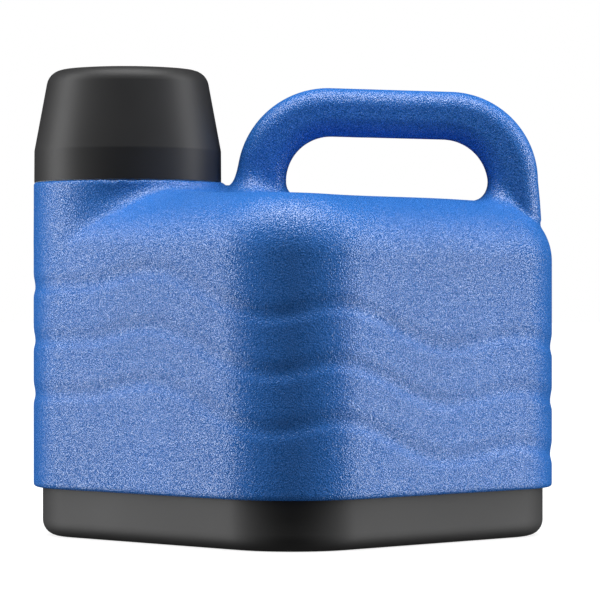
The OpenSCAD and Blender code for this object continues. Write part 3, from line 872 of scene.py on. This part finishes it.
def build_flip_cap():
    """Flip cap with its arm, knuckle and thumb tab."""
    top = flip_high.z
    rim = 214.4
    inner_top = top - 1.9
    bell = turned("bell", [(0, top, 0), (12, top, 2), (12, rim, 0.3), (10.75, rim, 0.2), (10.1, 215.7, 0.4),
                           (10.1, inner_top, 0.8), (0, inner_top, 0)], (NOZZLE_X, 0), 128)
    arm = slab("arm", box_outline(NOZZLE_X + 10.9, HINGE_X - 1.2, HINGE_Z - 2, HINGE_Z + 2, 0.5), -5, 5, 0.5)
    tube = [(1.55, -5, 0.1), (3, -5, 0.35), (3, 5, 0.35), (1.55, 5, 0.1)]
    knuckle = laid(turned("knuckle", tube, (0, 0), 64), HINGE_X, HINGE_Z)
    tab = slab("tab", box_outline(NOZZLE_X - 14, NOZZLE_X - 10.7, 217.4, 219.9, 0.8), -4, 4, 0.8)
    return merged("flip_cap", [bell, arm, knuckle, tab])


def build_pin():
    half = 8.2
    outline = [(0, -half, 0), (PIN_R, -half, 0.25), (PIN_R, half, 0.25), (0, half, 0)]
    return laid(turned("hinge_pin", outline, (0, 0), 64), HINGE_X, HINGE_Z)


def build_flip_seal():
    return turned("flip_disc", [(0, 221.05, 0), (10, 221.05, 0.15), (10, 221.5, 0.1), (0, 221.5, 0)],
                  (NOZZLE_X, 0), 96)


def build_cup_seal():
    low, top = RIM_Z + 0.05, RIM_Z + 1.5
    outline = [(48.3, low, 0.4), (49.9, low, 0.4), (49.9, top, 0.2), (48.3, top, 0.2)]
    return turned("cup_ring", outline)


def build_cup():
    """Drinking cup, shown upside down over the stopper, with its thread inside the rim."""
    wall = 2.7
    taper = 0.186
    waist_z = 207.0
    waist_r = CORNER_R - 0.4
    top_z = cup_high.z
    top_r = waist_r - taper * (top_z - waist_z)
    low = cup_low.z
    outline = [
        (0, top_z, 0), (top_r, top_z, 9), (waist_r, waist_z, 6), (CORNER_R - 0.3, low, 0.8),
        (50, low, 0.1), (50, low + 1.25, 0), (48.2, low + 1.25, 0), (48.2, low, 0.2), (CUP_BORE_R, low, 0.4),
        (CUP_BORE_R, waist_z, 3), (top_r - wall, top_z - wall, 5), (0, top_z - wall, 0)]
    return merged("drinking_cup", [turned("cup_wall", outline, segments=256)]
                  + thread_ridges("cup", CUP_BORE_R + 0.4, CUP_BORE_R - 1.6, MATE_Z, 150))


BUILDERS = {
    "outer_shell": build_shell, "base_cover": build_base, "foam_fill_plug": build_fill_plug,
    "neck_gasket": build_gasket, "neck_collar": build_collar, "stopper_seal": build_stopper_seal,
    "stopper_body": build_stopper, "stopper_top": build_stopper_top, "vent_valve": build_valve,
    "pour_nozzle": build_nozzle, "nozzle_cap": build_flip_cap, "nozzle_cap_pin": build_pin,
    "nozzle_cap_seal": build_flip_seal, "cup_seal": build_cup_seal, "cup": build_cup,
}
for body, nodes in frame["record"]["behaviour"]["bodies"].items():
    for node in nodes:
        if node in BUILDERS:
            piece(BUILDERS[node](), body, node)
for node, obj in frame["nodes"].items():
    if not obj.hide_render:
        dress(obj, SLOT_OF[node])


# ---------------------------------------------------------------------------
# Floor, light and camera
# ---------------------------------------------------------------------------
def studio_floor():
    """Pale floor that glows: painted light, dimmer near the jug and at full strength from 1.2 m out, so that
    it fades into the white backdrop. It catches shadows, and throws no light back up at the jug.
    """
    size = 40.0
    bm = bmesh.new()
    bmesh.ops.create_grid(bm, x_segments=2, y_segments=2, size=size)
    obj = finish_mesh("studio_floor", bm)
    m = Material("studio_floor_glow", (0.3, 0.3, 0.3), 0.9, Specular_IOR_Level=0.0)
    m.blend_colour(m.span(m.noise(3, 2), 0.3, 0.7, 0, 1), (0.3, 0.3, 0.3), (0.31, 0.31, 0.31))
    # Painted light: the floor glows, at 0.8 close to the jug rising to 1.0 from 1.2 m out.
    m.shader.inputs["Emission Color"].default_value = (1, 1, 1, 1)
    away = m.node("ShaderNodeVectorMath", operation="LENGTH")
    m.link(m.place, away.inputs[0])
    m.link(m.span(away.outputs["Value"], 0.2, 1.2, 0.80, 1.0), m.shader.inputs["Emission Strength"])
    obj.data.materials.append(m.material)
    obj.visible_diffuse = False
    obj.visible_glossy = False
    obj.visible_shadow = False


def soft_box(name, azimuth, elevation, distance, width, height, radiance):
    """Area light that faces the jug. Azimuth 0 is the camera's side, 90 the handle's side."""
    middle = Vector((0, 0, 0.12))
    a, e = math.radians(azimuth), math.radians(elevation)
    place = middle + distance * Vector((math.sin(a) * math.cos(e), -math.cos(a) * math.cos(e), math.sin(e)))
    light = bpy.data.lights.new(name, "AREA")
    light.shape = "RECTANGLE"
    light.size, light.size_y = width, height
    light.energy = radiance * math.pi * width * height
    obj = bpy.data.objects.new(name, light)
    bpy.context.scene.collection.objects.link(obj)
    obj.location = place
    obj.rotation_euler = (middle - place).to_track_quat("-Z", "Y").to_euler()
    obj.visible_camera = False


def studio_world(seen, fill, sheen):
    """White where the camera looks past the jug, a soft fill on the jug, next to nothing in its gloss.

    The fill is twice as strong straight above as at the sides, and fades to nothing straight below."""
    world = bpy.data.worlds.new("studio_world")
    world.use_nodes = True
    tree = world.node_tree
    path = tree.nodes.new("ShaderNodeLightPath")
    place = tree.nodes.new("ShaderNodeTexCoord")
    split = tree.nodes.new("ShaderNodeSeparateXYZ")
    tree.links.new(place.outputs["Generated"], split.inputs["Vector"])
    above = tree.nodes.new("ShaderNodeMapRange")
    for key, number in (("From Min", -1), ("From Max", 1), ("To Min", 0), ("To Max", 2 * fill)):
        above.inputs[key].default_value = number
    tree.links.new(split.outputs["Z"], above.inputs["Value"])
    total = None
    for output, strength in (("Is Camera Ray", seen), ("Is Diffuse Ray", above), ("Is Glossy Ray", sheen)):
        made = tree.nodes.new("ShaderNodeMath")
        made.operation = "MULTIPLY_ADD"
        made.inputs[2].default_value = 0
        if strength is above:
            tree.links.new(above.outputs["Result"], made.inputs[1])
        else:
            made.inputs[1].default_value = strength
        tree.links.new(path.outputs[output], made.inputs[0])
        if total is not None:
            tree.links.new(total, made.inputs[2])
        total = made.outputs["Value"]
    tree.links.new(total, tree.nodes["Background"].inputs["Strength"])
    tree.nodes["Background"].inputs["Color"].default_value = (1, 1, 1, 1)
    bpy.context.scene.world = world


def studio_light():
    studio_world(seen=1.0, fill=0.27, sheen=0.01)
    for name, azimuth in (("left_box", -91), ("right_box", 91)):
        soft_box(name, azimuth, 8, 1.6, 0.55, 3.0, 6.0)
    soft_box("top_box", 0, 79, 1.5, 1.6, 1.0, 5.3)
    bpy.context.scene.view_settings.view_transform = "Standard"


def photo_camera():
    camera = bpy.data.cameras.new("camera")
    camera.sensor_width = 36
    camera.lens = 190.02
    camera.clip_start = 0.05
    camera.shift_y = 0.0238
    obj = bpy.data.objects.new("camera", camera)
    bpy.context.scene.collection.objects.link(obj)
    obj.location = (0.0039, -1.713, 0.119)
    obj.rotation_euler = (math.pi / 2, 0, 0)
    bpy.context.scene.camera = obj


studio_floor()
studio_light()
photo_camera()
